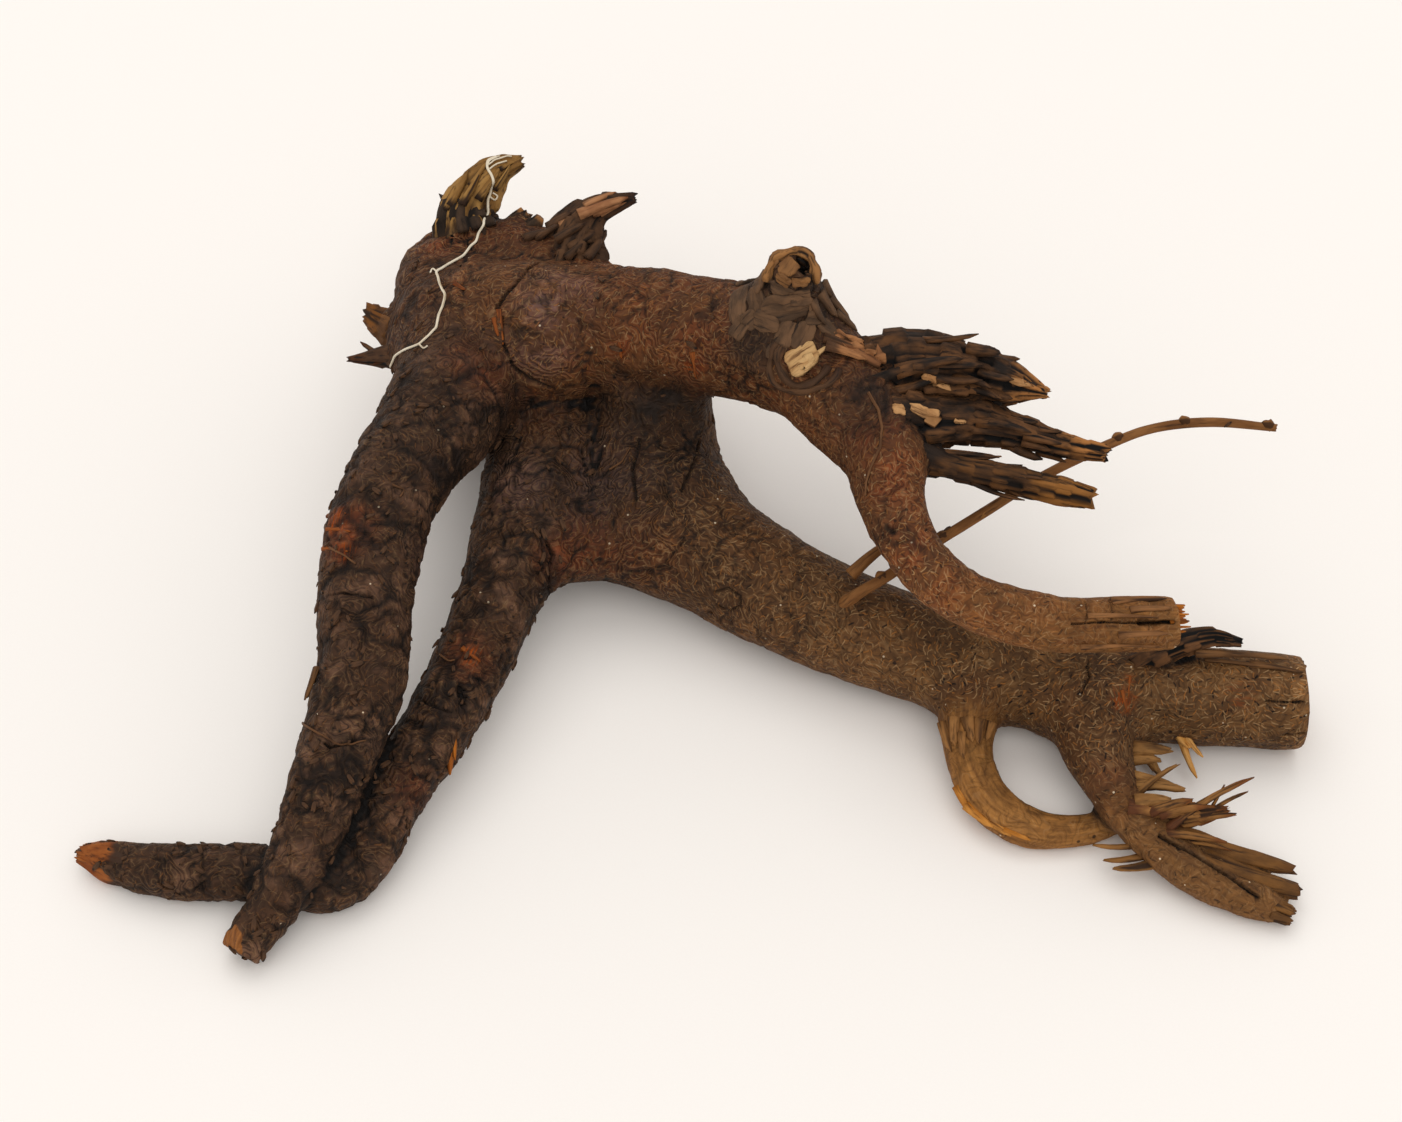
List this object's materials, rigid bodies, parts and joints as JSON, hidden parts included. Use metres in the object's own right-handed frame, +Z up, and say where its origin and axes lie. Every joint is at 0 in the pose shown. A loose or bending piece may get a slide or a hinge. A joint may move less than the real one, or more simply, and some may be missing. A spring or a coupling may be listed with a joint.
{
  "type": "driftwood",
  "caption": "Weathered driftwood root with a horned crown, legs that cross at the foot, long stems, a charred splinter fan and thin hooked roots; lies on its worn underside as decor.",
  "frame": {"origin": "middle of the bounding box, on the surface that the piece lies on", "axes": "+X along the length towards the sawn end, +Y away from the viewer towards the crown, +Z up"},
  "size_m": [0.6604, 0.4826, 0.2032],
  "materials": {
    "bark": "weathered dark brown bark, cracked and matt",
    "bare_wood": "bare ochre wood with fine lengthwise grain",
    "charred_wood": "rotted, charred splintered wood, matt",
    "fresh_break": "torn orange-brown fibres",
    "pale_rootlet": "dry off-white root fibre"
  },
  "bodies": {
    "root": {"driftwood": "bark", "pale_rootlet": "pale_rootlet"}
  },
  "joints": []
}
